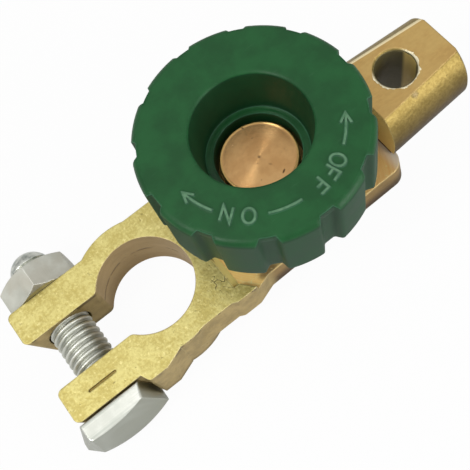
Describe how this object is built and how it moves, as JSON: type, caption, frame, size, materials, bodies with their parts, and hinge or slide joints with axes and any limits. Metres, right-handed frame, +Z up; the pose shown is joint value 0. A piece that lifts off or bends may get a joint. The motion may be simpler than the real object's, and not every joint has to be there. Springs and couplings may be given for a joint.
{
  "type": "battery terminal disconnect switch",
  "caption": "Cast brass battery post clamp with a green screw knob that makes or breaks the contact to an insulated cable lug.",
  "frame": {"origin": "on the axis of the battery post's hole, at the underside of the clamp", "axes": "+X along the switch to the cable lug, +Y to the nut of the clamp bolt, +Z up along the post, out of the knob"},
  "size_m": [0.0901, 0.0399, 0.0354],
  "materials": {
    "cast_brass": "yellow brass, as cast, with a milled seat",
    "lug_brass": "yellow brass with a milled top",
    "turned_brass": "turned brass, faint rings",
    "fibre": "dark pressed fibre",
    "rivet_steel": "plain steel",
    "spring_steel": "dark spring steel",
    "green_plastic": "dark green moulded plastic, satin",
    "zinc_steel": "bright zinc plated steel"
  },
  "bodies": {
    "base": {"clamp_body": "cast_brass", "insulator_plate": "fibre", "lug": "lug_brass", "stud_sleeve": "fibre", "rivet_1": "rivet_steel", "rivet_2": "rivet_steel", "rivet_bush_1": "fibre", "rivet_bush_2": "fibre", "rivet_washer_1": "rivet_steel", "rivet_washer_2": "rivet_steel"},
    "ring": {"contact_ring": "turned_brass"},
    "knob": {"knob": "green_plastic", "contact_stud": "turned_brass", "retaining_clip": "spring_steel"},
    "bolt": {"clamp_bolt": "zinc_steel"},
    "nut": {"clamp_nut": "zinc_steel"}
  },
  "joints": [
    {"name": "knob_lift", "type": "slide", "parent": "base", "child": "ring", "axis": [0, 0, 1], "range_m": [0, 0.002]},
    {"name": "knob_turn", "type": "hinge", "parent": "ring", "child": "knob", "pos_m": [0.0268, 0, 0.0205], "axis": [0, 0, 1], "range_deg": [0, 480]},
    {"name": "nut_turn", "type": "hinge", "parent": "base", "child": "nut", "pos_m": [-0.01505, 0.01375, 0.00525], "axis": [0, 1, 0], "range_deg": [0, 720]},
    {"name": "bolt_slide", "type": "slide", "parent": "base", "child": "bolt", "axis": [0, -1, 0], "range_m": [0, 0.0025]}
  ],
  "couplings": [
    {"joint": "knob_turn", "follows": "knob_lift", "rad_per_m": 4188.8},
    {"joint": "bolt_slide", "follows": "nut_turn", "m_per_rad": 0.00019894}
  ]
}
